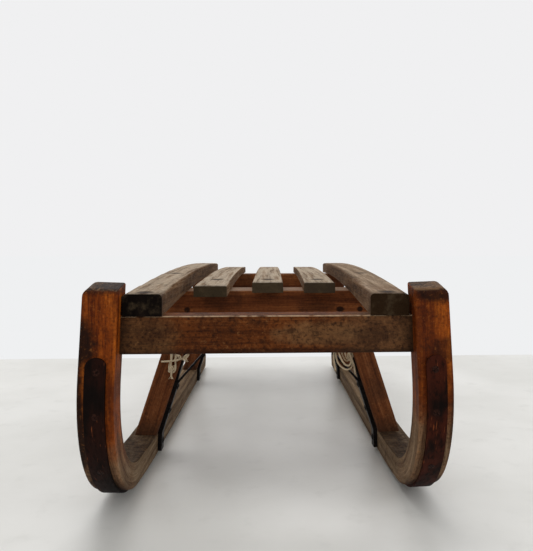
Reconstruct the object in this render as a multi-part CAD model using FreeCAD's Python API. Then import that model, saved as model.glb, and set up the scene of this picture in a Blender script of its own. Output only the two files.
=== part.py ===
"""A small wooden sled of the alpine kind: two bent ash runners shod with steel, two pairs of splayed legs,
two cross beams and a front bar, five seat slats and four forked flat-steel braces.

Millimetres. +Z is up, the sled travels towards -Y, and left is the rider's left, at +X.
The origin is on the floor under the middle of the sled."""

import FreeCAD, Part
import os
from math import atan2, cos, degrees, pi, radians, sin, sqrt, tan

V = FreeCAD.Vector

# ---- driving dimensions ----
LENGTH = 800.0  # front of the shoes to the back ends of the runners

# runners and their steel shoes; the profile is measured on the outside of the shoe
SHOE_THICKNESS = 3.0
SHOE_WIDTH = 18.0
SHOE_TOP = 163.0  # how far up the horn the shoe reaches
SHOE_REAR_INSET = 12.0
RUNNER_WIDTH = 32.0
RUNNER_THICKNESS = 27.0
BEND_RADIUS = 131.0
LEAD_IN_RADIUS = 1400.0
LEAD_IN_DEG = 5.0  # how far the gentle lead-in turns before the tight bend takes over
HORN_LEAN_DEG = 4.0  # the horn leans back from upright
HORN_TOP = 228.0
HORN_CUT_DEG = 12.0  # the horn's end slopes down towards the front
HORN_ROUND = 7.0
RUNNER_ROUND = 2.0
CANT_DEG = 2.0  # the runners lean inwards towards the top
SHOE_INNER_X = 146.0  # half the track, measured to the shoe's inner lower edge

# legs
LEG_THICKNESS = 25.0
LEG_DEPTH = 42.0
LEG_SPLAY_DEG = 18.0
LEG_ROUND = 1.5
FRONT_LEG_Y = 240.0
REAR_LEG_SETBACK = 153.0  # from the back ends of the runners
REAR_LEG_Y = LENGTH - REAR_LEG_SETBACK
TENON_THICKNESS = 11.0
TENON_DEPTH = 28.0
TENON_LENGTH = 15.0
JOINT_CLEARANCE = 0.15

# cross beams and the front bar
BEAM_DEPTH = 44.0
BEAM_HEIGHT = 32.0
BEAM_HALF_LENGTH = 145.0
BEAM_ROUND = 2.5
BAR_THICKNESS = 21.0
BAR_HEIGHT = 35.0
BAR_FRONT_Y = 19.0
BAR_TENON_THICKNESS = 9.0
BAR_TENON_HEIGHT = 22.0
BAR_TENON_LENGTH = 14.0
BAR_ROUND = 1.5

# seat: every slat follows one long arc; the crown is the arc's highest place, on the slats' undersides
CROWN_RADIUS = 8600.0
CROWN_Y = 540.0
CROWN_Z = 213.5
OUTER_SLAT_WIDTH = 35.5
OUTER_SLAT_THICKNESS = 20.0
OUTER_SLAT_FRONT_Y = 17.0
OUTER_SLAT_SETBACK = 6.0  # from the back ends of the runners
OUTER_SLAT_REAR_Y = LENGTH - OUTER_SLAT_SETBACK
OUTER_SLAT_ROUND = 4.0
INNER_SLAT_WIDTH = 37.0
INNER_SLAT_THICKNESS = 12.0
INNER_SLAT_SETBACK = 12.0
INNER_SLAT_REAR_Y = LENGTH - INNER_SLAT_SETBACK
INNER_SLAT_ROUND = 1.5
# name: (centre X at the front end, centre X at the rear end); the slats spread apart towards the back, and
# were set by hand, so none matches another; the side ones are set in from the shoes
OUTER_SLATS = {
    "slat_outer_left": (SHOE_INNER_X - 35.0, SHOE_INNER_X - 9.5),
    "slat_outer_right": (33.0 - SHOE_INNER_X, 17.0 - SHOE_INNER_X),
}
INNER_SLATS = {
    "slat_inner_left": (SHOE_INNER_X - 85.0, SHOE_INNER_X - 74.0),
    "slat_inner_middle": (-1.0, 0.5),
    "slat_inner_right": (80.5 - SHOE_INNER_X, 76.5 - SHOE_INNER_X),
}
INNER_SLAT_FRONT_Y = {"slat_inner_left": 188.0, "slat_inner_middle": 191.0, "slat_inner_right": 152.0}

# braces: two flat straps laid together up to the fork
STRAP_THICKNESS = 2.5
STRAP_WIDTH = 15.0
STRAP_FOOT_Z = 6.5
FORK_Z = 92.0
BRACE_HEAD_X = 40.0  # where the inner strap meets the beam's underside
STRAP_TAB = 24.0  # how far each strap runs along the beam's underside

# twine left tied round the front braces; each route's points are (X, Y, Z)
TWINE_DIAMETER = 2.2
TWINE = {
    "twine_left_low": [(85, 231, 128), (85.5, 229.5, 118), (91, 228.5, 110), (99, 228.5, 105.5),
                       (105.5, 229, 109), (106.5, 230, 117), (104, 230.5, 125)],
    "twine_left_middle": [(88, 227, 129), (91, 226.5, 120), (96.5, 226, 112.5), (102, 226, 111.5),
                          (104.5, 226.5, 118), (103, 227, 126)],
    "twine_left_high": [(91, 231, 134), (93, 231, 125), (98, 231, 116), (102, 230.8, 119), (102.5, 230.5, 129)],
    "twine_left_inner": [(95, 228, 136), (96.5, 228.3, 127), (99, 228.5, 119), (101, 228.5, 126), (100, 228.5, 135)],
    "twine_left_tail": [(99, 224, 132), (103, 224.5, 125), (106, 225.5, 117), (108.5, 226.5, 109), (109.5, 227, 101)],
    "twine_left_end": [(85.5, 229.5, 139), (82.5, 230, 131), (82, 230, 122), (83, 230, 113), (84.5, 230.5, 106)],
    "twine_right_loop": [(-118, 217.6, 134), (-117.5, 217.4, 125), (-121.5, 217, 118), (-122, 216.8, 110),
                         (-117, 216.8, 106.5), (-113.5, 217, 112), (-114.5, 217.2, 121), (-114, 217.6, 132)],
    "twine_right_frayed": [(-119.5, 215, 136), (-118.5, 214.6, 127), (-119.3, 214.3, 118), (-118.5, 214.3, 110),
                           (-118.8, 214.6, 103)],
    "twine_right_stub": [(-131, 216.5, 121), (-124, 214, 121.5), (-116, 212.6, 122.5), (-108, 214, 124),
                         (-101, 217.4, 126)],
}


# ---- the shared profile of a runner, in the plane Y, Z before the cant ----
class Profile:
    """Outside of the shoe from the back end to the tip of the horn; offset moves inwards, to the wood."""

    def __init__(self):
        a = radians(LEAD_IN_DEG)
        self.bend_centre = (BEND_RADIUS, LEAD_IN_RADIUS * (1 - cos(a)) + BEND_RADIUS * cos(a))
        self.lead_in_start_y = BEND_RADIUS * (1 - sin(a)) + LEAD_IN_RADIUS * sin(a)

    def on_lead_in(self, angle, offset):
        r = LEAD_IN_RADIUS - offset
        return V(0, self.lead_in_start_y - r * sin(angle), LEAD_IN_RADIUS - r * cos(angle))

    def on_bend(self, angle, offset):
        r = BEND_RADIUS - offset
        y, z = self.bend_centre
        return V(0, y - r * sin(angle), z - r * cos(angle))

    def edges(self, offset, rear_y, top_z):
        """Edges from the back end to the height top_z on the straight horn."""
        lead = radians(LEAD_IN_DEG)
        end = radians(90 + HORN_LEAN_DEG)
        rear = V(0, rear_y, offset)
        start = V(0, self.lead_in_start_y, offset)
        knee = self.on_lead_in(lead, offset)
        horn = self.on_bend(end, offset)
        rise = top_z - horn.z
        tip = V(0, horn.y + rise * tan(radians(HORN_LEAN_DEG)), top_z)
        return [
            Part.LineSegment(rear, start).toShape(),
            Part.Arc(start, self.on_lead_in(lead / 2, offset), knee).toShape(),
            Part.Arc(knee, self.on_bend((lead + end) / 2, offset), horn).toShape(),
            Part.LineSegment(horn, tip).toShape(),
        ]


PROFILE = Profile()


def first_point(edge):
    return edge.valueAt(edge.FirstParameter)


def last_point(edge):
    return edge.valueAt(edge.LastParameter)


def band(low, high, rear_y, top_z, x_start, width):
    """A solid between two offsets of the profile."""
    outer = PROFILE.edges(low, rear_y, top_z)
    inner = PROFILE.edges(high, rear_y, top_z)
    ends = [
        Part.LineSegment(last_point(outer[-1]), last_point(inner[-1])).toShape(),
        Part.LineSegment(first_point(inner[0]), first_point(outer[0])).toShape(),
    ]
    wire = Part.Wire(Part.__sortEdges__(outer + [ends[0]] + inner + [ends[1]]))
    solid = Part.Face(wire).extrude(V(width, 0, 0))
    solid.translate(V(x_start, 0, 0))
    return solid


def canted(shape):
    """Leans a left runner's piece inwards about the shoe's inner lower edge."""
    moved = shape.copy()
    moved.rotate(V(0, 0, 0), V(0, 1, 0), -CANT_DEG)
    moved.translate(V(SHOE_INNER_X, 0, 0))
    return moved


SHOE_SIDE = (RUNNER_WIDTH - SHOE_WIDTH) / 2  # bare wood on each side of the shoe
RUNNER_TOP = SHOE_THICKNESS + RUNNER_THICKNESS


def slat_underside(y):
    return CROWN_Z - CROWN_RADIUS + sqrt(CROWN_RADIUS**2 - (y - CROWN_Y) ** 2)


def runner():
    wood = band(SHOE_THICKNESS, RUNNER_TOP, LENGTH, HORN_TOP + RUNNER_THICKNESS, -SHOE_SIDE, RUNNER_WIDTH)
    tip = Part.makeBox(4 * RUNNER_WIDTH, 6 * RUNNER_THICKNESS, 3 * RUNNER_THICKNESS)
    tip.translate(V(-2 * RUNNER_WIDTH, 0, 0))
    tip.rotate(V(0, 0, 0), V(1, 0, 0), HORN_CUT_DEG)
    back_y = PROFILE.edges(RUNNER_TOP, LENGTH, HORN_TOP)[-1].Vertexes[-1].Y
    tip.translate(V(0, back_y, HORN_TOP))
    lower = tip.copy()
    lower.translate(V(0, -6 * RUNNER_THICKNESS * cos(radians(HORN_CUT_DEG)),
                      -6 * RUNNER_THICKNESS * sin(radians(HORN_CUT_DEG))))
    wood = wood.cut(tip.fuse(lower).removeSplitter())
    outside = -SHOE_SIDE + RUNNER_WIDTH
    rounded = [
        e for e in wood.Edges
        if e.BoundBox.ZMin > HORN_TOP - RUNNER_THICKNESS / 2
        and (e.BoundBox.XMin > outside - 0.01 or e.BoundBox.YMax < back_y - RUNNER_THICKNESS / 2)
    ]
    wood = wood.makeFillet(HORN_ROUND, rounded)
    along = [e for e in wood.Edges if e.BoundBox.XLength < 0.01 and e.Length > RUNNER_THICKNESS + 1]
    return canted(wood.makeFillet(RUNNER_ROUND, along))


def shoe():
    steel = band(0, SHOE_THICKNESS, LENGTH - SHOE_REAR_INSET, SHOE_TOP, 0, SHOE_WIDTH)
    upright = [
        e for e in steel.Edges
        if e.BoundBox.ZMin > SHOE_TOP - 1 and e.BoundBox.XMax - e.BoundBox.XMin < 0.01
    ]
    return canted(steel.makeFillet(SHOE_WIDTH / 2 - 1, upright))


# ---- legs ----
def below_runner_top(up=0.0):
    """Everything under the runner's top face, as far as the leg's foot is concerned."""
    block = Part.makeBox(2 * LENGTH, LENGTH, LENGTH)
    block.translate(V(-LENGTH, 0, RUNNER_TOP + up - LENGTH))
    return canted(block)


def runner_inner_top():
    """X and Z of the runner's inner upper edge along its straight part."""
    c = radians(CANT_DEG)
    x = SHOE_INNER_X - SHOE_SIDE * cos(c) - RUNNER_TOP * sin(c)
    return x, RUNNER_TOP * cos(c) - SHOE_SIDE * sin(c)


def beam_bottom(y):
    return slat_underside(y) - BEAM_HEIGHT


def leg_blank(y, inset, thickness, depth):
    """A splayed post, longer than the leg at both ends. inset is measured from the leg's inner face."""
    reach = LENGTH / 2
    x, z = runner_inner_top()
    post = Part.makeBox(thickness, depth, 2 * reach)
    post.translate(V(inset, -depth / 2, -reach))
    post.rotate(V(0, 0, 0), V(0, 1, 0), -LEG_SPLAY_DEG)
    post.translate(V(x, y, z))
    return post


def slab(z_low, z_high):
    box = Part.makeBox(4 * SHOE_INNER_X, 2 * LENGTH, z_high - z_low)
    box.translate(V(-2 * SHOE_INNER_X, -LENGTH / 2, z_low))
    return box


def leg_tenons(y, clearance=0.0):
    """The leg's tenons at both ends, as one post, or the mortises that take them."""
    inset = (LEG_THICKNESS - TENON_THICKNESS) / 2 - clearance
    post = leg_blank(y, inset, TENON_THICKNESS + 2 * clearance, TENON_DEPTH + 2 * clearance)
    foot = -TENON_LENGTH - clearance
    head = beam_bottom(y) + TENON_LENGTH + clearance
    return post.cut(below_runner_top(foot)).common(slab(-LENGTH, head))


def leg(y):
    body = leg_blank(y, 0, LEG_THICKNESS, LEG_DEPTH)
    body = body.makeFillet(LEG_ROUND, [e for e in body.Edges if e.Length > LENGTH / 2])
    body = body.cut(below_runner_top()).common(slab(-LENGTH, beam_bottom(y)))
    return body.fuse(leg_tenons(y)).removeSplitter()


def both_sides(shape):
    return shape.fuse(shape.mirror(V(0, 0, 0), V(1, 0, 0)))


# ---- cross beams ----
def under_the_slats():
    """Everything below the arc that the slats' undersides share."""
    end = V(-2 * SHOE_INNER_X, CROWN_Y, CROWN_Z - CROWN_RADIUS)
    return Part.makeCylinder(CROWN_RADIUS, 4 * SHOE_INNER_X, end, V(1, 0, 0))


def long_edges(shape, length):
    """Edges along X that run the whole of a beam."""
    return [e for e in shape.Edges if e.BoundBox.XLength > 0.9 * length and e.BoundBox.YLength < 1]


def beam(y):
    length = 2 * BEAM_HALF_LENGTH
    blank = Part.makeBox(length, BEAM_DEPTH, 2 * BEAM_HEIGHT)
    blank.translate(V(-BEAM_HALF_LENGTH, y - BEAM_DEPTH / 2, beam_bottom(y)))
    shaped = blank.common(under_the_slats())
    shaped = shaped.makeFillet(BEAM_ROUND, long_edges(shaped, length))
    return shaped.cut(both_sides(leg_tenons(y, JOINT_CLEARANCE)))


def horn_inner_x(z):
    """Half the width between the horns at a height, on their inner faces."""
    c = radians(CANT_DEG)
    return SHOE_INNER_X - SHOE_SIDE / cos(c) - z * tan(c)


def front_bar():
    """The bar between the horns: cut to the horns' lean, with a tenon into each."""
    y = BAR_FRONT_Y
    middle = y + BAR_THICKNESS / 2
    top = slat_underside(middle)
    low = top - BAR_HEIGHT
    blank = Part.makeBox(4 * SHOE_INNER_X, BAR_THICKNESS, 2 * BAR_HEIGHT)
    blank.translate(V(-2 * SHOE_INNER_X, y, low))
    outside = Part.makeBox(2 * SHOE_INNER_X, LENGTH, LENGTH)
    outside.translate(V(-SHOE_SIDE, 0, -LENGTH / 2))
    blank = blank.common(under_the_slats()).cut(both_sides(canted(outside)))
    blank = blank.makeFillet(BAR_ROUND, long_edges(blank, 2 * horn_inner_x(top) - 4))
    return blank.fuse(both_sides(bar_tenon())).removeSplitter()


def bar_tenon(clearance=0.0):
    middle = BAR_FRONT_Y + BAR_THICKNESS / 2
    centre_z = slat_underside(middle) - BAR_HEIGHT / 2
    inside = horn_inner_x(centre_z) - RUNNER_WIDTH / 4
    reach = horn_inner_x(centre_z) + BAR_TENON_LENGTH + clearance - inside
    height = BAR_TENON_HEIGHT + 2 * clearance
    thick = BAR_TENON_THICKNESS + 2 * clearance
    tenon = Part.makeBox(reach, thick, height)
    front = BAR_FRONT_Y + BAR_ROUND - clearance
    tenon.translate(V(inside, front, centre_z - height / 2))
    return tenon


# ---- slats ----
def slat(centres, width, thickness, front_y, rear_y, rounding):
    """Set straight along the sled, then turned about its front end; centres is X at both ends."""
    axis_z = CROWN_Z - CROWN_RADIUS
    front_x, rear_x = centres

    def at(y, radius):
        return V(0, y, axis_z + sqrt(radius**2 - (y - CROWN_Y) ** 2))

    low, high = CROWN_RADIUS, CROWN_RADIUS + thickness
    mid = (front_y + rear_y) / 2
    wire = Part.Wire([
        Part.Arc(at(front_y, low), at(mid, low), at(rear_y, low)).toShape(),
        Part.LineSegment(at(rear_y, low), at(rear_y, high)).toShape(),
        Part.Arc(at(rear_y, high), at(mid, high), at(front_y, high)).toShape(),
        Part.LineSegment(at(front_y, high), at(front_y, low)).toShape(),
    ])
    solid = Part.Face(wire).extrude(V(width, 0, 0))
    solid.translate(V(-width / 2, 0, 0))
    top_edges = [
        e for e in solid.Edges
        if e.BoundBox.YLength > 0.9 * (rear_y - front_y)
        and e.BoundBox.ZMax > slat_underside(CROWN_Y) + thickness / 2
    ]
    solid = solid.makeFillet(rounding, top_edges)
    solid.rotate(V(0, front_y, 0), V(0, 0, 1), -degrees(atan2(rear_x - front_x, rear_y - front_y)))
    solid.translate(V(front_x, 0, 0))
    return solid


# ---- braces ----
def strap(y, route):
    """A flat strap from points of its inner surface (X, Z); it is as thick as STRAP_THICKNESS to the
    right of the way the route runs."""
    left, right = [], []
    for i, (x, z) in enumerate(route):
        before = route[max(i - 1, 0)]
        after = route[min(i + 1, len(route) - 1)]
        normals = []
        for (x0, z0), (x1, z1) in ((before, (x, z)), ((x, z), after)):
            run = sqrt((x1 - x0) ** 2 + (z1 - z0) ** 2)
            if run > 0:
                normals.append(((z1 - z0) / run, -(x1 - x0) / run))
        nx = sum(n[0] for n in normals) / len(normals)
        nz = sum(n[1] for n in normals) / len(normals)
        stretch = STRAP_THICKNESS / (nx**2 + nz**2)
        left.append(V(x, 0, z))
        right.append(V(x + nx * stretch, 0, z + nz * stretch))
    outline = left + right[::-1]
    face = Part.Face(Part.makePolygon(outline + outline[:1]))
    solid = face.extrude(V(0, STRAP_WIDTH, 0))
    solid.translate(V(0, y - STRAP_WIDTH / 2, 0))
    return solid


def leg_inner_x(z):
    x, base = runner_inner_top()
    return x - (z - base) * tan(radians(LEG_SPLAY_DEG))


def outer_strap_route(y):
    """Up the runner's inner face, up the leg's inner face and in under the beam, as (X, Z) from the foot."""
    c = radians(CANT_DEG)
    x, z = runner_inner_top()
    foot = (x + (z - STRAP_FOOT_Z) * tan(c), STRAP_FOOT_Z)
    head = beam_bottom(y)
    return [foot, (x, z), (leg_inner_x(head), head), (leg_inner_x(head) - STRAP_TAB, head)]


def offset_route(route, distance):
    """The route moved sideways by a distance, towards the middle of the sled."""
    moved = []
    for i, (x, z) in enumerate(route):
        normals = []
        for a, b in ((max(i - 1, 0), i), (i, min(i + 1, len(route) - 1))):
            dx, dz = route[b][0] - route[a][0], route[b][1] - route[a][1]
            run = sqrt(dx**2 + dz**2)
            if run > 0:
                normals.append((-dz / run, dx / run))
        nx = sum(n[0] for n in normals) / len(normals)
        nz = sum(n[1] for n in normals) / len(normals)
        k = distance / (nx**2 + nz**2)
        moved.append((x + nx * k, z + nz * k))
    return moved


def inner_strap_route(y):
    """Laid on the outer strap up to the fork, then across to the beam's underside."""
    laid = offset_route(outer_strap_route(y), STRAP_THICKNESS)
    (x1, z1), (x2, z2) = laid[1], laid[2]
    share = (FORK_Z - z1) / (z2 - z1)
    fork = (x1 + share * (x2 - x1), FORK_Z)
    head = beam_bottom(y)
    return [laid[0], laid[1], fork, (BRACE_HEAD_X, head), (BRACE_HEAD_X - STRAP_TAB, head)]


def strap_solid(y, route):
    flipped = [(x, z) for x, z in reversed(route)]
    return strap(y, flipped)


# ---- twine ----
def tube(points, diameter):
    """Straight runs with a tangent arc at every point, each as large as its two runs allow."""
    points = [V(*p) for p in points]
    edges = []
    at = points[0]
    for before, corner, after in zip(points, points[1:], points[2:]):
        arrive = (corner - before).normalize()
        leave = (after - corner).normalize()
        turn = arrive.getAngle(leave)
        cut_back = 0.45 * min(corner.distanceToPoint(before), after.distanceToPoint(corner))
        radius = cut_back / tan(turn / 2)
        start = corner - arrive * cut_back
        end = corner + leave * cut_back
        inward = (leave - arrive).normalize()
        middle = corner + inward * (radius / cos(turn / 2) - radius)
        edges.append(Part.LineSegment(at, start).toShape())
        edges.append(Part.Arc(start, middle, end).toShape())
        at = end
    edges.append(Part.LineSegment(at, points[-1]).toShape())
    path = Part.Wire(edges)
    profile = Part.Wire(Part.Circle(points[0], points[1] - points[0], diameter / 2).toShape())
    return path.makePipeShell([profile], True, False), path.Length


def add_twine(nodes):
    for name, route in TWINE.items():
        solid, length = tube(route, TWINE_DIAMETER)
        nodes[name] = solid
        expected = pi * TWINE_DIAMETER**2 / 4 * length
        print(name, "length", round(length, 1), "volume over expected", round(solid.Volume / expected, 3))


def export(name, shape):
    moved = shape.copy()
    moved.translate(V(0, -LENGTH / 2, 0))
    moved.exportStep(f"parts/{name}.step")


def main():
    os.makedirs("parts", exist_ok=True)
    nodes = {}
    mirrored = {}
    wood = runner().cut(leg_tenons(FRONT_LEG_Y, JOINT_CLEARANCE)).cut(leg_tenons(REAR_LEG_Y, JOINT_CLEARANCE))
    mirrored["runner"] = wood.cut(bar_tenon(JOINT_CLEARANCE))
    mirrored["shoe"] = shoe()
    for place, y in (("front", FRONT_LEG_Y), ("rear", REAR_LEG_Y)):
        mirrored[f"leg_{place}"] = leg(y)
        mirrored[f"brace_{place}_outer"] = strap_solid(y, outer_strap_route(y))
        mirrored[f"brace_{place}_inner"] = strap_solid(y, inner_strap_route(y))
        nodes[f"beam_{place}"] = beam(y)
    nodes["front_bar"] = front_bar()
    for name, centres in OUTER_SLATS.items():
        nodes[name] = slat(centres, OUTER_SLAT_WIDTH, OUTER_SLAT_THICKNESS, OUTER_SLAT_FRONT_Y,
                           OUTER_SLAT_REAR_Y, OUTER_SLAT_ROUND)
    for name, centres in INNER_SLATS.items():
        nodes[name] = slat(centres, INNER_SLAT_WIDTH, INNER_SLAT_THICKNESS, INNER_SLAT_FRONT_Y[name],
                           INNER_SLAT_REAR_Y, INNER_SLAT_ROUND)
    for name, shape in mirrored.items():
        nodes[f"{name}_left"] = shape
        nodes[f"{name}_right"] = shape.mirror(V(0, 0, 0), V(1, 0, 0))
    add_twine(nodes)
    for name, shape in nodes.items():
        export(name, shape)
        print(name, len(shape.Solids), shape.isValid(), round(shape.Volume), shape.BoundBox)


main()
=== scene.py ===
# %% [markdown]
# # An old wooden sled
# This lesson gives them their looks: dry grey slats, varnished horns, dark paint on the steel shoes, and
# scraps of twine.

# %% The frame
import bpy
import math
import random
from mathutils import Matrix, Vector


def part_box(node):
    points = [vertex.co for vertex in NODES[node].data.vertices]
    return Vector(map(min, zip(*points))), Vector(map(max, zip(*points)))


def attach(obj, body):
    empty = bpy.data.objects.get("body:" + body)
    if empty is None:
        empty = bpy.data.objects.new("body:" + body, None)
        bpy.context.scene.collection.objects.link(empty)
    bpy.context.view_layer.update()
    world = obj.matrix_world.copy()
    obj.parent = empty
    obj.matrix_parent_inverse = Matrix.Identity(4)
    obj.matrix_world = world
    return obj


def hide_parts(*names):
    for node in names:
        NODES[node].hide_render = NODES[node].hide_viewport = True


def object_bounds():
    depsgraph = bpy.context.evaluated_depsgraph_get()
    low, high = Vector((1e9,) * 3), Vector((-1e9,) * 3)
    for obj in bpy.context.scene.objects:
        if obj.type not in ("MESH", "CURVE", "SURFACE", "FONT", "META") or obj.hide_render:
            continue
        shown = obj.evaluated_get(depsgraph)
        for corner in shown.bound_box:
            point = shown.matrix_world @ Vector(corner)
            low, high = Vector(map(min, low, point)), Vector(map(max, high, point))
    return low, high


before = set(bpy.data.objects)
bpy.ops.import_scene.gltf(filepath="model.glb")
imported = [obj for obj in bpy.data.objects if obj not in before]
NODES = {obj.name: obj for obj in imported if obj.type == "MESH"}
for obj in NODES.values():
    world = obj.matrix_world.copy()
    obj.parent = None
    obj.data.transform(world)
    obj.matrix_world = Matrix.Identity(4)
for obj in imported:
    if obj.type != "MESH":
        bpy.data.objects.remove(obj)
CAD_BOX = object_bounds()
SCENE = bpy.context.scene
MM = 0.001
print("pieces in the frame:", len(NODES))

# %% [markdown]
# ## Camera
# The camera stands low in front of the sled, a step away, so the horns look large and the seat runs off
# into the distance.

# %% Camera
CAMERA_AHEAD = 0.526  # in front of the shoes
CAMERA_HEIGHT = 0.256
CAMERA_TURN = -0.051  # about the upright, in radians


def make_camera():
    data = bpy.data.cameras.new("camera")
    data.lens = 39.2
    data.sensor_width = 36
    data.shift_x = -0.0608
    data.shift_y = -0.0439
    data.clip_start = 0.01
    camera = bpy.data.objects.new("camera", data)
    camera.location = (0.001, CAD_BOX[0][1] - CAMERA_AHEAD, CAMERA_HEIGHT)
    camera.rotation_euler = (math.pi / 2, 0, CAMERA_TURN)
    SCENE.collection.objects.link(camera)
    SCENE.camera = camera
    SCENE.view_settings.view_transform = "Standard"
    return camera


CAMERA = make_camera()
print("camera stands", round(CAMERA.location.y, 3), "m in front of the sled's middle")

# %% [markdown]
# ## A small shader language
# A finish is arithmetic on positions and noise. Wrapping a socket in a class with operators lets that
# arithmetic be written as it would be on paper, and each expression adds its own Math nodes.

# %% Sockets that can be added and multiplied
class Value:
    """An output socket that takes part in sums."""

    def __init__(self, shader, socket):
        self.shader = shader
        self.socket = socket

    def math(self, operation, a, b=None):
        inputs = {0: a} if b is None else {0: a, 1: b}
        return self.shader.node("ShaderNodeMath", {"operation": operation}, inputs)

    def __add__(self, other):
        return self.math("ADD", self, other)

    def __radd__(self, other):
        return self.math("ADD", other, self)

    def __sub__(self, other):
        return self.math("SUBTRACT", self, other)

    def __rsub__(self, other):
        return self.math("SUBTRACT", other, self)

    def __mul__(self, other):
        return self.math("MULTIPLY", self, other)

    def __truediv__(self, other):
        return self.math("DIVIDE", self, other)

    def __abs__(self):
        return self.math("ABSOLUTE", self)

    def high(self, other):
        return self.math("MAXIMUM", self, other)

    def root(self):
        return self.math("SQRT", self)

    def sine(self):
        return self.math("SINE", self)


class Shader:
    """One material's node tree, with its principled shader."""

    def __init__(self, name):
        self.material = bpy.data.materials.new(name)
        self.material.use_nodes = True
        self.tree = self.material.node_tree
        self.surface = self.tree.nodes["Principled BSDF"]

    def feed(self, socket, value):
        if isinstance(value, Value):
            self.tree.links.new(value.socket, socket)
        elif isinstance(value, tuple) and len(value) == 3 and socket.type == "RGBA":
            socket.default_value = (*value, 1)
        else:
            socket.default_value = value

    def node(self, kind, settings=None, inputs=None, output=0):
        made = self.tree.nodes.new(kind)
        for name, value in (settings or {}).items():
            setattr(made, name, value)
        for name, value in (inputs or {}).items():
            self.feed(made.inputs[name], value)
        return Value(self, made.outputs[output])

    def position(self):
        where = self.node("ShaderNodeTexCoord", output="Object")
        return self.split(where)

    def normal(self):
        return self.split(self.node("ShaderNodeNewGeometry", output="Normal"))

    def split(self, vector):
        made = self.tree.nodes.new("ShaderNodeSeparateXYZ")
        self.feed(made.inputs[0], vector)
        return [Value(self, made.outputs[i]) for i in range(3)]

    def vector(self, x, y, z):
        return self.node("ShaderNodeCombineXYZ", None, {0: x, 1: y, 2: z})

    def noise(self, x, y, z, detail=3.0, rough=0.55):
        """Soft random values about 0.5, one lump for each unit of the coordinates."""
        at = self.vector(x, y, z)
        return self.node("ShaderNodeTexNoise", None, {"Vector": at, "Scale": 1.0, "Detail": detail,
                                                      "Roughness": rough})

    def step(self, value, low, high):
        """0 below low, 1 above high, and smooth between them; low may be the larger."""
        settings = {"interpolation_type": "SMOOTHSTEP"}
        if low < high:
            return self.node("ShaderNodeMapRange", settings, {0: value, 1: low, 2: high})
        return 1 - self.node("ShaderNodeMapRange", settings, {0: value, 1: high, 2: low})

    def mix(self, first, second, factor):
        """The first colour where the factor is 0, and the second where it is 1."""
        inputs = {0: factor, 6: first, 7: second}
        return self.node("ShaderNodeMix", {"data_type": "RGBA"}, inputs, output=2)

    def bump(self, height, distance):
        return self.node("ShaderNodeBump", None, {"Height": height, "Distance": distance})

    def finish(self, shine=0.07, **sockets):
        """Feeds the surface; a socket is named with underscores for its spaces."""
        self.surface.inputs["Specular IOR Level"].default_value = shine
        for name, value in sockets.items():
            self.feed(self.surface.inputs[name.replace("_", " ")], value)
        return self.material


def srgb(red, green, blue):
    """A screen colour, 0 to 255, as the linear numbers that a shader takes."""
    def linear(c):
        c = c / 255
        return c / 12.92 if c <= 0.04045 else ((c + 0.055) / 1.055) ** 2.4
    return (linear(red), linear(green), linear(blue))


print("slat grey is", [round(c, 3) for c in srgb(150, 135, 118)])

# %% [markdown]
# ## Floor and light
# A pale painted floor ends at a white backdrop that only the camera sees, so that the backdrop adds no
# light. One wide lamp overhead lights the tops more than the fronts, as a window above would, and a
# smaller one at the side fills in.

# %% Floor, backdrop and lamps
BACKDROP_Y = CAD_BOX[1][1] + 0.127
BACKDROP_BLEND = 0.006
FLOOR_HALF = 30.0
DAYLIGHT = 0.74


def floor_finish():
    s = Shader("floor_paint")
    x, y, _ = s.position()
    cloud = s.noise(x * 3, y * 3, 0.0, detail=5)
    scuff = s.step(s.noise(x * 30, y * 30, 0.0, detail=6), 0.55, 0.75)
    tone = s.mix(srgb(216, 215, 210), srgb(228, 227, 223), s.step(cloud, 0.35, 0.65))
    tone = s.mix(tone, srgb(203, 202, 197), scuff * 0.35)
    s.finish(shine=0.5, Base_Color=tone, Roughness=0.36)
    white = s.node("ShaderNodeEmission", None, {"Color": srgb(239, 240, 241), "Strength": 1.0})
    past = s.step(y, BACKDROP_Y, BACKDROP_Y + BACKDROP_BLEND)
    seen = s.node("ShaderNodeLightPath", output="Is Camera Ray")
    shader = s.tree.nodes.new("ShaderNodeMixShader")
    s.feed(shader.inputs[0], past * seen)
    s.tree.links.new(s.surface.outputs[0], shader.inputs[1])
    s.tree.links.new(white.socket, shader.inputs[2])
    s.tree.links.new(shader.outputs[0], s.tree.nodes["Material Output"].inputs["Surface"])
    return s.material


def make_floor():
    half = FLOOR_HALF
    mesh = bpy.data.meshes.new("floor")
    corners = [(-half, -half, 0), (half, -half, 0), (half, half, 0), (-half, half, 0)]
    mesh.from_pydata(corners, [], [(0, 1, 2, 3)])
    floor = bpy.data.objects.new("floor", mesh)
    SCENE.collection.objects.link(floor)
    mesh.materials.append(floor_finish())


def make_lamp(name, place, aim, size, power):
    data = bpy.data.lights.new(name, "AREA")
    data.shape = "DISK"
    data.size = size
    data.energy = power
    lamp = bpy.data.objects.new(name, data)
    lamp.location = place
    lamp.rotation_euler = (Vector(aim) - Vector(place)).to_track_quat("-Z", "Y").to_euler()
    SCENE.collection.objects.link(lamp)


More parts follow.
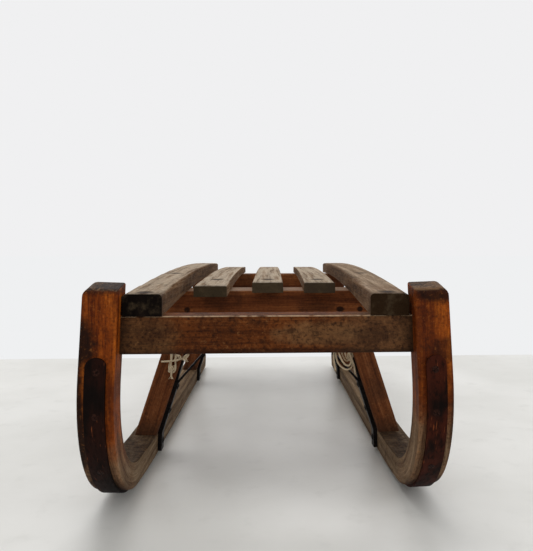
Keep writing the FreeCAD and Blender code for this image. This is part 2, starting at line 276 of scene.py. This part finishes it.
def make_world():
    """Even white light from all round, and a near-white that the camera sees in its place."""
    world = bpy.data.worlds.new("studio")
    world.use_nodes = True
    tree = world.node_tree
    light = tree.nodes["Background"]
    light.inputs["Color"].default_value = (1, 1, 1, 1)
    light.inputs["Strength"].default_value = DAYLIGHT
    shown = tree.nodes.new("ShaderNodeBackground")
    shown.inputs["Color"].default_value = (*srgb(240, 240, 241), 1)
    path = tree.nodes.new("ShaderNodeLightPath")
    mix = tree.nodes.new("ShaderNodeMixShader")
    tree.links.new(path.outputs["Is Camera Ray"], mix.inputs[0])
    tree.links.new(light.outputs[0], mix.inputs[1])
    tree.links.new(shown.outputs[0], mix.inputs[2])
    tree.links.new(mix.outputs[0], tree.nodes["World Output"].inputs["Surface"])
    SCENE.world = world


make_floor()
make_world()
make_lamp("ceiling_lamp", (-0.3, 0.5, 2.2), (0, 0, 0.1), 1.6, 20)
make_lamp("side_lamp", (1.8, -1.6, 1.3), (0, -0.2, 0.1), 1.0, 7)
print("backdrop starts at", round(BACKDROP_Y, 3))

# %% [markdown]
# ## Wood
# Every wooden piece shares one recipe: fine fibres stretched along the grain, slow bands of early and
# late wood, blotches of dirt, and dark pores. What differs is the way that the grain runs, the colours,
# and how much varnish is left. The grain's direction comes from three coordinates: two across it and one
# along it. On a bent runner the grain follows the bend, so the depth below the outside face is worked
# out from the bend's own centre.

# %% Ways that the grain runs
BEND_RADIUS = 131 * MM
BEND_Y = CAD_BOX[0][1] + BEND_RADIUS
LEG_SPLAY = math.tan(math.radians(18))


def grain_of_runner(x, y, z):
    ahead = (BEND_Y - y).high(0.0)
    below = (BEND_RADIUS - z).high(0.0)
    depth = BEND_RADIUS - (ahead * ahead + below * below).root()
    return depth, x, y - z


def grain_of_leg(x, y, z):
    return abs(x) + z * LEG_SPLAY, y, z


def grain_of_beam(x, y, z):
    return y, z, x


def grain_of_slat(x, y, z):
    return x, z, y


# %% [markdown]
# ## The recipe
# Each noise is set by how many lumps it has in a metre: 850 across the grain and 26 along it make fibres
# about a millimetre wide and a few centimetres long. An offset gives each piece its own stretch of wood.

# %% The recipe
class Wood:
    """The parts of a wood's look that the pieces then colour in their own ways."""

    def __init__(self, name, grain, offset):
        s = self.s = Shader(name)
        self.x, self.y, self.z = s.position()
        _, self.ny, self.nz = s.normal()
        u, v, w = grain(self.x, self.y, self.z)  # across the grain twice, then along it
        shift = offset * 7.3
        self.fibre = s.noise(u * 850 + shift, v * 850, w * 26, detail=4, rough=0.6)
        self.streak = s.noise(u * 260 + shift, v * 260, w * 6, detail=3)
        wander = s.noise(u * 30 + shift, v * 30, w * 3, detail=2)
        self.rings = ((wander * 12 + u * 420 + v * 190).sine() + 1) * 0.5
        self.blotch = s.noise(self.x * 17 + shift, self.y * 17, self.z * 17, detail=5, rough=0.6)
        self.mottle = s.noise(self.x * 75, self.y * 75 + shift, self.z * 75, detail=5, rough=0.65)
        self.pores = s.step(s.noise(u * 1500, v * 1500 + shift, w * 180, detail=2), 0.63, 0.72)
        specks = s.noise(self.x * 420, self.y * 420, self.z * 420 + shift, detail=2)
        self.dots = s.step(specks, 0.60, 0.70)
        self.grit = s.noise(self.x * 330 + shift, self.y * 330, self.z * 330, detail=5, rough=0.75)

    def base(self, deep, middle, light):
        s = self.s
        figure = self.fibre * 0.45 + self.streak * 0.42 + self.rings * 0.13
        tone = s.mix(deep, middle, s.step(figure, 0.34, 0.52))
        return s.mix(tone, light, s.step(figure, 0.50, 0.68))

    def weathered(self, tone, dark, light, amount):
        """Fine grit: dark specks that have settled in, and pale flecks where the surface is bruised."""
        s = self.s
        tone = s.mix(tone, dark, s.step(self.grit, 0.48, 0.66) * amount)
        return s.mix(tone, light, s.step(self.grit, 0.44, 0.28) * amount * 0.6)

    def patch(self, centre, reach, ragged=0.7):
        """1 round a place on the piece and 0 past its reach, with a ragged edge; both are (x, y, z)."""
        parts = [(a - c) / r for a, c, r in zip((self.x, self.y, self.z), centre, reach)]
        apart = (parts[0] * parts[0] + parts[1] * parts[1] + parts[2] * parts[2]).root()
        edge = apart + (self.blotch - 0.5) * ragged * 2 + (self.mottle - 0.5) * ragged
        return self.s.step(edge, 1.15, 0.6)

    def relief(self, depth):
        height = self.fibre * 0.5 + self.streak * 0.3 + self.mottle * 0.35 + self.grit * 0.5
        height = height - self.pores * 0.5 - self.dots * 0.4
        return self.s.bump(height, depth * MM)


# %% [markdown]
# ## Seat slats
# The slats are bare wood that rain and sun have turned grey. Their tops are pale and dusty, the sides
# keep some brown, and the sawn ends have drunk dirt until they are nearly black. The tops are also
# painted lighter and the sides darker, as painted top light and side shade. Rust has bled from the screws.

# %% Slat finish
def screw_rows():
    """The middle of the front bar and of both beams, along the sled."""
    rows = []
    for node in ("front_bar", "beam_front", "beam_rear"):
        low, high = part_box(node)
        rows.append((low[1] + high[1]) / 2)
    return rows


SCREW_ROWS = screw_rows()
SEAT_Z = 0.2

# X of each centre line at its front and rear ends, in millimetres: most slats spread to the back
SLAT_ENDS = {
    "slat_outer_left": (111.0, 136.5),
    "slat_outer_right": (-113.0, -129.0),
    "slat_inner_left": (61.0, 72.0),
    "slat_inner_middle": (-1.0, 0.5),
    "slat_inner_right": (-65.5, -69.5),
}


def slat_middle(node, y):
    """X of a slat's centre line at a place along the sled."""
    low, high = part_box(node)
    front, rear = SLAT_ENDS[node]
    share = (y - low[1]) / (high[1] - low[1])
    return (front + (rear - front) * share) * MM


def slat_finish(node, offset, dark_end, warm, dust):
    """Weathered grey on top with painted top light, darker brown at the sides with painted side shade, dirty
    round the screws and at the sawn ends.
    """
    wood = Wood(f"{node}_wood", grain_of_slat, offset)
    s = wood.s
    # upward faces take the pale grey copy and the sides the darker brown one: real weathered grey, plus
    # painted top light and painted side shade
    top = s.step(wood.nz, 0.55, 0.95)
    brown = wood.base(srgb(62, 42, 27), srgb(99, 71, 48), srgb(133, 103, 76))
    grey = wood.base(srgb(104, 84, 64), srgb(138, 116, 93), srgb(170, 150, 127))
    grey = s.mix(grey, srgb(104, 70, 44), s.step(wood.blotch, 0.45, 0.7) * warm)
    grey = s.mix(grey, srgb(188, 174, 154), s.step(wood.streak + wood.mottle * 0.6, 0.62, 0.86) * dust)
    tone = s.mix(brown, grey, top * 0.92)
    worn = s.step(wood.mottle, 0.5, 0.7) * (1 - top)
    tone = s.mix(tone, srgb(138, 116, 92), worn * 0.45)
    tone = s.mix(tone, srgb(58, 42, 30), s.step(wood.mottle, 0.53, 0.7) * top * 0.45)
    tone = s.mix(tone, srgb(40, 26, 17), wood.pores * 0.5)
    tone = wood.weathered(tone, srgb(58, 41, 28), srgb(186, 172, 152), 0.55)
    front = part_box(node)[0][1]
    end = s.step(wood.ny, -0.5, -0.9)
    end_tone = s.mix(dark_end, srgb(74, 61, 44), s.step(wood.mottle, 0.45, 0.7) * 0.7)
    tone = s.mix(tone, end_tone, end)
    soot = s.step(wood.y + (wood.blotch - 0.5) * 0.03, front + 0.02, front)
    tone = s.mix(tone, srgb(48, 36, 27), soot * (1 - end) * 0.55)
    for row in SCREW_ROWS:
        screw = (slat_middle(node, row), row, SEAT_Z)
        spot = wood.patch(screw, (0.010, 0.013, 0.05), ragged=0.5)
        tone = s.mix(tone, srgb(42, 29, 22), spot * 0.75)
    return s.finish(Base_Color=tone, Roughness=0.78, Normal=wood.relief(0.9))


# name: (colour of the sawn end, how brown the grey is, how much pale dust lies on it)
SLATS = {
    "slat_outer_right": (srgb(10, 4, 2), 0.35, 0.5),
    "slat_outer_left": (srgb(40, 25, 10), 0.6, 0.1),
    "slat_inner_right": (srgb(58, 48, 34), 0.15, 0.7),
    "slat_inner_middle": (srgb(64, 52, 38), 0.2, 0.7),
    "slat_inner_left": (srgb(60, 48, 36), 0.3, 0.6),
}


def paint(node, material):
    """Gives a piece one finish all over."""
    mesh = NODES[node].data
    for i in range(len(mesh.materials)):
        mesh.materials[i] = material
    if not mesh.materials:
        mesh.materials.append(material)


for place, (node, (dark_end, warm, dust)) in enumerate(SLATS.items()):
    paint(node, slat_finish(node, place, dark_end, warm, dust))
print("screw rows:", [round(y, 3) for y in SCREW_ROWS])

# %% [markdown]
# ## Runners
# Old varnish glows orange on the horns where hands and daylight reach, and is darkened in patches at
# listed places. Low down, and all along the back, the wood is bare, grey and scraped.
# The end grain on top of each horn is dark.

# %% Runner finish
BARE_BEHIND_Y = -0.31  # the bend's varnish ends about here, within BARE_BLEND
BARE_BLEND = 0.02
DIRTY_AHEAD_Y = -0.15  # mud has stayed on the upper faces in front of this
DIRTY_BLEND = 0.05
HORN_CROWN_Z = 0.205
CROWN_BLEND = 0.005


def runner_finish(node, offset, dark_patches, bare_below):
    """Varnish on the horn, bare wood lower down and behind, and dark patches at their own places."""
    side = 1 if node.endswith("left") else -1
    wood = Wood(f"{node}_wood", grain_of_runner, offset)
    s = wood.s
    varnished = wood.base(srgb(84, 32, 6), srgb(134, 62, 12), srgb(178, 94, 26))
    varnished = s.mix(varnished, srgb(72, 27, 6), s.step(wood.blotch, 0.44, 0.62) * 0.75)
    bare = wood.base(srgb(74, 55, 38), srgb(112, 91, 68), srgb(146, 123, 96))
    height = wood.z + (wood.blotch - 0.5) * 0.09 + (wood.mottle - 0.5) * 0.03
    facing = s.step(wood.ny, 0.3, -0.4)
    stripped = s.step(height, bare_below, bare_below - 0.05) * (1 - facing * 0.2)
    behind = wood.y + (wood.blotch - 0.5) * 0.06
    behind = s.step(behind, BARE_BEHIND_Y - BARE_BLEND, BARE_BEHIND_Y + BARE_BLEND)
    stripped = stripped.high(behind)
    tone = s.mix(varnished, bare, stripped)
    ahead = s.step(wood.y, DIRTY_AHEAD_Y + DIRTY_BLEND, DIRTY_AHEAD_Y - DIRTY_BLEND)
    upper = s.step(wood.nz, 0.2, 0.6) * ahead
    tone = s.mix(tone, srgb(40, 27, 17), upper * stripped * (0.6 + s.step(wood.mottle, 0.4, 0.6) * 0.3))
    # darkens the horns in the listed patches
    for centre, reach, amount in dark_patches:
        mark = wood.patch((side * centre[0], centre[1], centre[2]), reach)
        tone = s.mix(tone, srgb(22, 10, 6), mark * amount)
    tone = s.mix(tone, srgb(30, 15, 8), s.step(wood.mottle, 0.56, 0.72) * 0.55)
    tone = wood.weathered(tone, srgb(30, 14, 7), srgb(190, 122, 58), 0.5)
    crown = s.step(wood.z, HORN_CROWN_Z - CROWN_BLEND, HORN_CROWN_Z + CROWN_BLEND)
    crown = s.step(wood.nz, 0.5, 0.8) * crown
    worn = s.step(wood.grit + wood.blotch - 0.5, 0.40, 0.62)
    end_grain = s.mix(srgb(38, 23, 13), srgb(108, 80, 54), worn)
    tone = s.mix(tone, end_grain, crown)
    rear = CAD_BOX[1][1]
    sawn = s.step(wood.ny, 0.8, 0.95) * s.step(wood.y, rear - 0.010, rear - 0.005)
    tone = s.mix(tone, srgb(164, 138, 104), sawn * 0.7)
    gloss = 0.36 + wood.mottle * 0.25 + stripped * 0.25
    return s.finish(Base_Color=tone, Roughness=gloss, Normal=wood.relief(0.8))


# (centre, reach, strength) of each dark patch on the horns, as on the left side
RIGHT_DARK_PATCHES = [
    ((0.168, -0.395, 0.176), (0.019, 0.04, 0.026), 0.95),
    ((0.172, -0.395, 0.110), (0.013, 0.06, 0.090), 0.95),
    ((0.150, -0.395, 0.223), (0.030, 0.04, 0.006), 0.6),
    ((0.160, -0.355, 0.020), (0.030, 0.06, 0.026), 0.8),
]
LEFT_DARK_PATCHES = [
    ((0.150, -0.395, 0.219), (0.024, 0.04, 0.011), 0.85),
    ((0.160, -0.395, 0.168), (0.020, 0.04, 0.012), 0.6),
    ((0.172, -0.395, 0.190), (0.007, 0.05, 0.040), 0.5),
    ((0.172, -0.395, 0.110), (0.010, 0.06, 0.080), 0.8),
    ((0.160, -0.350, 0.018), (0.030, 0.06, 0.022), 0.75),
]
paint("runner_right", runner_finish("runner_right", 1.7, RIGHT_DARK_PATCHES, 0.095))
paint("runner_left", runner_finish("runner_left", 4.1, LEFT_DARK_PATCHES, 0.135))

# %% [markdown]
# ## Legs, beams and the front bar
# These are red-brown wood under thin old varnish. The bar in front has taken the most knocks: it is
# speckled with dark dents, rubbed to a pale line along its upper edge, and greyed on one side.

# %% Leg and beam finishes
BEAM_MARKS = ((0.089, 0.0055), (0.114, 0.004), (-0.100, 0.004))  # X and size of its small dark marks
BEAM_MARKS_Z = 0.184
# (X, Z, reach, colour) of the places where the bar's varnish has gone pale
BAR_PATCHES = [
    (0.050, 0.181, (0.046, 0.03, 0.013), srgb(128, 92, 58)),
    (-0.112, 0.18, (0.036, 0.03, 0.025), srgb(94, 68, 42)),
]


def leg_finish(node, offset):
    wood = Wood(f"{node}_wood", grain_of_leg, offset)
    s = wood.s
    tone = wood.base(srgb(70, 34, 16), srgb(104, 58, 30), srgb(132, 82, 50))
    tone = s.mix(tone, srgb(60, 38, 26), s.step(wood.blotch, 0.48, 0.66) * 0.5)
    # painted shade: the leg darkens towards its foot, where it meets the runner
    foot_shade = s.step(wood.z + (wood.blotch - 0.5) * 0.03, 0.055, 0.03)
    tone = s.mix(tone, srgb(46, 35, 26), foot_shade * 0.6)
    tone = wood.weathered(tone, srgb(34, 18, 10), srgb(160, 118, 80), 0.45)
    return s.finish(Base_Color=tone, Roughness=0.55 + wood.mottle * 0.15, Normal=wood.relief(0.6))


def beam_finish(node, offset):
    wood = Wood(f"{node}_wood", grain_of_beam, offset)
    s = wood.s
    tone = wood.base(srgb(66, 30, 13), srgb(106, 56, 27), srgb(141, 84, 45))
    tone = s.mix(tone, srgb(48, 25, 14), s.step(wood.blotch, 0.45, 0.62) * 0.55)
    # painted top light: the beams' upward faces are paler
    tone = s.mix(tone, srgb(150, 124, 98), s.step(wood.nz, 0.5, 0.9) * 0.5)
    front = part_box(node)[0][1]
    for mark_x, size in BEAM_MARKS:
        mark = wood.patch((mark_x, front, BEAM_MARKS_Z), (size, 0.02, 0.004), ragged=0.3)
        tone = s.mix(tone, srgb(18, 7, 4), mark * 0.9)
    tone = wood.weathered(tone, srgb(34, 17, 9), srgb(150, 96, 54), 0.45)
    return s.finish(Base_Color=tone, Roughness=0.5 + wood.mottle * 0.15, Normal=wood.relief(0.6))


def bar_finish(node, offset):
    wood = Wood(f"{node}_wood", grain_of_beam, offset)
    s = wood.s
    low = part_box(node)[0]
    tone = wood.base(srgb(72, 34, 10), srgb(98, 50, 18), srgb(128, 74, 34))
    for patch_x, patch_z, reach, colour in BAR_PATCHES:
        tone = s.mix(tone, colour, wood.patch((patch_x, low[1], patch_z), reach) * 0.6)
    greyed = s.step(wood.x + (wood.blotch - 0.5) * 0.1, 0.05, 0.10)
    tone = s.mix(tone, srgb(104, 76, 50), greyed * 0.6)
    tone = s.mix(tone, srgb(42, 20, 10), s.step(wood.blotch, 0.50, 0.66) * 0.55)
    tone = s.mix(tone, srgb(34, 17, 9), s.step(wood.mottle, 0.52, 0.68) * 0.6)
    tone = wood.weathered(tone, srgb(28, 13, 7), srgb(152, 108, 66), 0.75)
    # painted shade: the bar darkens towards its ends, in the corners where it meets the horns
    end_shade = s.step(abs(wood.x) + (wood.blotch - 0.5) * 0.03, 0.118, 0.133)
    tone = s.mix(tone, srgb(24, 14, 9), end_shade * 0.7)
    rounded = s.step(wood.nz, 0.15, 0.4) * s.step(wood.nz, 0.99, 0.9)
    arris = rounded * s.step(wood.mottle, 0.66, 0.45)
    tone = s.mix(tone, srgb(178, 152, 122), arris * 0.85)
    # darker along the bar's lower edge
    lower_edge_dark = s.step(wood.z + (wood.mottle - 0.5) * 0.01, low[2] + 0.006, low[2])
    tone = s.mix(tone, srgb(30, 17, 10), lower_edge_dark * 0.7)
    return s.finish(Base_Color=tone, Roughness=0.5 + wood.mottle * 0.2, Normal=wood.relief(0.9))


for place, node in enumerate(n for n in NODES if n.startswith("leg_")):
    paint(node, leg_finish(node, place + 2.0))
for place, node in enumerate(("beam_front", "beam_rear")):
    paint(node, beam_finish(node, place + 9.0))
paint("front_bar", bar_finish("front_bar", 12.0))

# %% [markdown]
# ## Steel
# The shoes were painted a dark red-brown that is nearly black now, with scraped places down to orange
# rust and to the wood's colour. The brace straps are plain black iron.

# %% Steel finishes
def shoe_finish(node, offset, redder):
    """Chipped dark paint, rubbed to bright steel on the sole."""
    s = Shader(f"{node}_paint")
    x, y, z = s.position()
    lumps = s.noise(x * 300 + offset, y * 120, z * 120, detail=5, rough=0.65)
    cloud = s.noise(x * 40 + offset, y * 22, z * 22, detail=4)
    scrape = s.noise(x * 700 + offset, y * 60, z * 60, detail=3)
    tone = s.mix(srgb(14, 6, 4), redder, s.step(cloud, 0.38, 0.62))
    tone = s.mix(tone, srgb(10, 4, 3), s.step(lumps, 0.5, 0.65) * 0.7)
    rubbed = s.step(scrape, 0.64, 0.70) * s.step(cloud, 0.46, 0.56)
    tone = s.mix(tone, srgb(124, 66, 34), rubbed * 0.7)
    sole = s.step(z, 0.012, 0.001)
    bright = s.mix(srgb(92, 84, 78), srgb(146, 138, 130), s.step(lumps, 0.4, 0.6))
    tone = s.mix(tone, bright, sole * s.step(scrape, 0.42, 0.6))
    normal = s.bump(lumps + scrape * 0.4, 0.5 * MM)
    return s.finish(shine=0.06, Base_Color=tone, Roughness=0.5 + lumps * 0.3,
                    Metallic=sole * 0.7, Normal=normal)


def iron_finish():
    s = Shader("black_iron")
    x, y, z = s.position()
    scale = s.noise(x * 500, y * 500, z * 500, detail=4)
    rust = s.step(s.noise(x * 60, y * 60, z * 60, detail=4), 0.56, 0.7)
    tone = s.mix(srgb(18, 16, 16), srgb(38, 34, 33), s.step(scale, 0.4, 0.65))
    tone = s.mix(tone, srgb(58, 34, 22), rust * 0.35)
    return s.finish(Base_Color=tone, Roughness=0.5, Metallic=0.5, Normal=s.bump(scale, 0.25 * MM))


paint("shoe_left", shoe_finish("shoe_left", 3.0, srgb(58, 22, 10)))
paint("shoe_right", shoe_finish("shoe_right", 8.0, srgb(34, 13, 7)))
IRON = iron_finish()
for node in NODES:
    if node.startswith("brace_"):
        paint(node, IRON)

# %% [markdown]
# ## Screws
# Slotted screws hold the slats, shoes and straps. A head is a low dome with a slot, made once as a
# turned outline and placed many times. Each faces out of its surface, and its slot is left at a random
# angle, as a hand leaves it.

# %% Screw heads
SCREW_SIDES = 24
SCREW_RINGS = 9
SHOE_SCREW_Z = (0.151, 0.112, 0.055)
SHOE_MIDDLE_X = 0.154  # the middle of a shoe at the floor, which leans inwards by SHOE_LEAN
SHOE_LEAN = 0.035
BRACE_SCREW_Z = (0.018, 0.055, 0.085)
TAB_SCREW_INSET = 0.012
SIDES = (("left", 1), ("right", -1))


def head_mesh(radius, height, slot_width):
    """A domed head with a sunk slot: rings of points, lowered where the slot runs."""
    verts = []
    faces = []
    for ring in range(SCREW_RINGS + 1):
        r = radius * ring / SCREW_RINGS
        for i in range(SCREW_SIDES):
            a = 2 * math.pi * i / SCREW_SIDES
            x, y = r * math.cos(a), r * math.sin(a)
            z = height * (1 - (r / radius) ** 2) ** 0.5 if r < radius else 0
            if abs(y) < slot_width / 2:
                z = min(z, 0.1 * height)
            verts.append((x, y, z))
    for ring in range(SCREW_RINGS):
        for i in range(SCREW_SIDES):
            a = ring * SCREW_SIDES + i
            b = ring * SCREW_SIDES + (i + 1) % SCREW_SIDES
            faces.append((a, a + SCREW_SIDES, b + SCREW_SIDES, b))
    return verts, faces


def screws_piece(name, places, radius, height, material):
    """One joined piece of heads; each place is (point, direction that it faces)."""
    dice = random.Random(name)
    verts = []
    faces = []
    for point, facing in places:
        turn = Vector((0, 0, 1)).rotation_difference(Vector(facing)).to_matrix().to_4x4()
        spin = Matrix.Rotation(dice.uniform(0, math.pi), 4, "Z")
        place = Matrix.Translation(point) @ turn @ spin
        new_verts, new_faces = head_mesh(radius, height, radius * 0.3)
        first = len(verts)
        verts += [tuple(place @ Vector(v)) for v in new_verts]
        faces += [tuple(first + i for i in f) for f in new_faces]
    mesh = bpy.data.meshes.new(name)
    mesh.from_pydata(verts, [], faces)
    mesh.validate()
    piece = bpy.data.objects.new(name, mesh)
    SCENE.collection.objects.link(piece)
    mesh.materials.append(material)
    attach(piece, "root")
    print(name, "heads:", len(places))


def rust_finish(name, dark, light):
    s = Shader(name)
    x, y, z = s.position()
    grit = s.noise(x * 900, y * 900, z * 900, detail=4)
    tone = s.mix(dark, light, s.step(grit, 0.4, 0.65))
    return s.finish(Base_Color=tone, Roughness=0.6, Metallic=0.5, Normal=s.bump(grit, 0.15 * MM))


def surface_point(node, start, direction):
    """Where a straight line first meets a piece and the way its face looks, or nothing on a miss."""
    hit, where, normal, _ = NODES[node].ray_cast(Vector(start), Vector(direction))
    return [(where, normal)] if hit else []


def slat_screws():
    places = []
    for node in SLATS:
        for row in SCREW_ROWS:
            places += surface_point(node, (slat_middle(node, row), row, 2 * SEAT_Z), (0, 0, -1))
    return places


def shoe_screws():
    places = []
    for side, sign in SIDES:
        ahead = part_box(f"shoe_{side}")[0][1] - 0.1
        for z in SHOE_SCREW_Z:
            x = sign * (SHOE_MIDDLE_X - SHOE_LEAN * z)
            places += surface_point(f"shoe_{side}", (x, ahead, z), (0, 1, 0))
    return places


def brace_screws():
    places = []
    for place in ("front", "rear"):
        for side, sign in SIDES:
            node = f"brace_{place}_inner_{side}"
            low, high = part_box(node)
            y = (low[1] + high[1]) / 2
            for z in BRACE_SCREW_Z:
                places += surface_point(node, (0, y, z), (sign, 0, 0))
            inner = low[0] if sign > 0 else high[0]
            places += surface_point(node, (inner + sign * TAB_SCREW_INSET, y, 0.1), (0, 0, 1))
    return places


DARK_SCREW = rust_finish("dark_screw", srgb(28, 21, 18), srgb(70, 52, 42))
SHOE_SCREW = rust_finish("shoe_screw", srgb(24, 12, 10), srgb(60, 36, 28))
screws_piece("slat_screws", slat_screws(), 4.2 * MM, 0.35 * MM, DARK_SCREW)
screws_piece("shoe_screws", shoe_screws(), 3.2 * MM, 0.35 * MM, SHOE_SCREW)
screws_piece("brace_screws", brace_screws(), 4.0 * MM, 1.6 * MM, IRON)

# %% [markdown]
# ## Twine
# Scraps of a cream-coloured twine are still tied round the front braces. Each scrap is a smooth curve
# past the places where it hangs, as thick as the twine. The places are in millimetres, with Y measured
# from the front of the shoes.

# %% Twine routes
TWINE_DIAMETER = 2.2
KNOT_DIAMETER = 1.7
FIBRE_DIAMETER = 0.4
FRONT_Y = -400
TWINE = {
    "twine_left_low": [(85, 231, 128), (85.5, 229.5, 118), (91, 228.5, 110), (99, 228.5, 105.5),
                       (105.5, 229, 109), (106.5, 230, 117), (104, 230.5, 125)],
    "twine_left_middle": [(88, 227, 129), (91, 226.5, 120), (96.5, 226, 112.5), (102, 226, 111.5),
                          (104.5, 226.5, 118), (103, 227, 126)],
    "twine_left_high": [(91, 231, 134), (93, 231, 125), (98, 231, 116), (102, 230.8, 119),
                        (102.5, 230.5, 129)],
    "twine_left_inner": [(95, 228, 136), (96.5, 228.3, 127), (99, 228.5, 119), (101, 228.5, 126),
                         (100, 228.5, 135)],
    "twine_left_tail": [(99, 224, 132), (103, 224.5, 125), (106, 225.5, 117), (108.5, 226.5, 109),
                        (109.5, 227, 101)],
    "twine_left_end": [(85.5, 229.5, 139), (82.5, 230, 131), (82, 230, 122), (83, 230, 113),
                       (84.5, 230.5, 106)],
    "twine_right_loop": [(-118, 217.6, 134), (-117.5, 217.4, 125), (-121.5, 217, 118), (-122, 216.8, 110),
                         (-117, 216.8, 106.5), (-113.5, 217, 112), (-114.5, 217.2, 121), (-114, 217.6, 132)],
    "twine_right_frayed": [(-119.5, 215, 136), (-118.5, 214.6, 127), (-119.3, 214.3, 118),
                           (-118.5, 214.3, 110), (-118.8, 214.6, 103)],
    "twine_right_stub": [(-131, 216.5, 121), (-124, 214, 121.5), (-116, 212.6, 122.5), (-108, 214, 124),
                         (-101, 217.4, 126)],
}


def in_frame(point):
    """A point of the routes, in the frame's metres."""
    x, y, z = point
    return (x * MM, (y + FRONT_Y) * MM, z * MM)


def twine_finish():
    s = Shader("cream_twine")
    x, y, z = s.position()
    ply = ((z * 5200 + x * 3600).sine() + 1) * 0.5
    hair = s.noise(x * 1500, y * 1500, z * 1500, detail=3)
    dirt = s.noise(x * 90, y * 90, z * 90, detail=3)
    tone = s.mix(srgb(164, 132, 92), srgb(238, 222, 192), s.step(ply * 0.6 + hair * 0.4, 0.2, 0.6))
    tone = s.mix(tone, srgb(150, 114, 76), s.step(dirt, 0.52, 0.72) * 0.5)
    return s.finish(Base_Color=tone, Roughness=0.9, Normal=s.bump(ply + hair * 0.5, 0.5 * MM))


TWINE_FINISH = twine_finish()


def twine_curve(name, points, diameter):
    data = bpy.data.curves.new(name, "CURVE")
    data.dimensions = "3D"
    data.bevel_depth = diameter * MM / 2
    data.bevel_resolution = 4
    data.resolution_u = 16
    data.use_fill_caps = True
    spline = data.splines.new("NURBS")
    spline.points.add(len(points) - 1)
    for knot, point in zip(spline.points, points):
        knot.co = (*in_frame(point), 1)
    spline.order_u = 3
    spline.use_endpoint_u = True
    curve = bpy.data.objects.new(name, data)
    SCENE.collection.objects.link(curve)
    data.materials.append(TWINE_FINISH)
    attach(curve, "root")
    return curve


# %% [markdown]
# ## Knots and frayed ends
# A knot is a loose coil that weaves in and out of its own loop, and a frayed end is a spray of fine
# fibres.

# %% Knots and frayed ends
KNOT_TURNS = 2
KNOT_WAVES = 3
KNOT_STEPS = 24


def knot_points(centre, size, tilt):
    """A loose overhand knot: a line that turns round the centre while it goes in and out."""
    cx, cy, cz = centre
    points = []
    for i in range(KNOT_STEPS + 1):
        a = KNOT_TURNS * 2 * math.pi * i / KNOT_STEPS
        wave = a * KNOT_WAVES / KNOT_TURNS
        r = size * (1 + 0.42 * math.cos(wave))
        x = r * math.cos(a)
        z = r * math.sin(a)
        rise = z * math.cos(tilt) + x * math.sin(tilt)
        points.append((cx + x, cy + 0.55 * size * math.sin(wave), cz + rise))
    return points


def fray_points(tip, spread, length, dice):
    x, y, z = tip
    dx = dice.uniform(-spread, spread)
    dy = dice.uniform(-spread, spread) * 0.5
    return [(x, y, z + 1.5), (x + 0.3 * dx, y + 0.3 * dy, z - 0.4 * length), (x + dx, y + dy, z - length)]


# name: (cord that carries it, centre, size, tilt)
KNOTS = {
    "knot_left_upper": ("twine_left_tail", (102.5, 226.5, 125.5), 2.6, 0.3),
    "knot_left_side": ("twine_left_middle", (103.8, 227.5, 121.0), 2.2, 1.2),
    "knot_right_inner": ("twine_right_stub", (-101.5, 215.4, 126.5), 2.6, 0.8),
    "knot_right_middle": ("twine_right_stub", (-111.0, 213.5, 126.0), 2.8, 0.2),
    "knot_right_low": ("twine_right_loop", (-118.5, 215.0, 112.5), 2.9, 0.5),
}
# name: (cord that it ends, tip, spread, length, strands)
FRAYS = {
    "fray_right_low": ("twine_right_frayed", (-118.8, 214.4, 105.0), 3.0, 5.0, 14),
    "fray_right_stub": ("twine_right_stub", (-101.0, 216.6, 125.0), 2.6, 5.0, 9),
    "fray_left_end": ("twine_left_end", (84.3, 230.2, 108.0), 1.6, 4.0, 8),
}


def make_twine():
    on_cord = {name: [] for name in TWINE}
    for name, (cord, centre, size, tilt) in KNOTS.items():
        on_cord[cord].append(twine_curve(name, knot_points(centre, size, tilt), KNOT_DIAMETER))
    dice = random.Random(5)
    for name, (cord, tip, spread, length, strands) in FRAYS.items():
        for i in range(strands):
            points = fray_points(tip, spread, length, dice)
            on_cord[cord].append(twine_curve(f"{name}_{i}", points, FIBRE_DIAMETER))
    for name, route in TWINE.items():
        curve = twine_curve(f"{name}_line", route, TWINE_DIAMETER)
        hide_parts(name)
        in_frame(route[0])


make_twine()
print("twine scraps:", len(TWINE))

# %% [markdown]
# ## The last line

# %% Finish
bpy.context.view_layer.update()
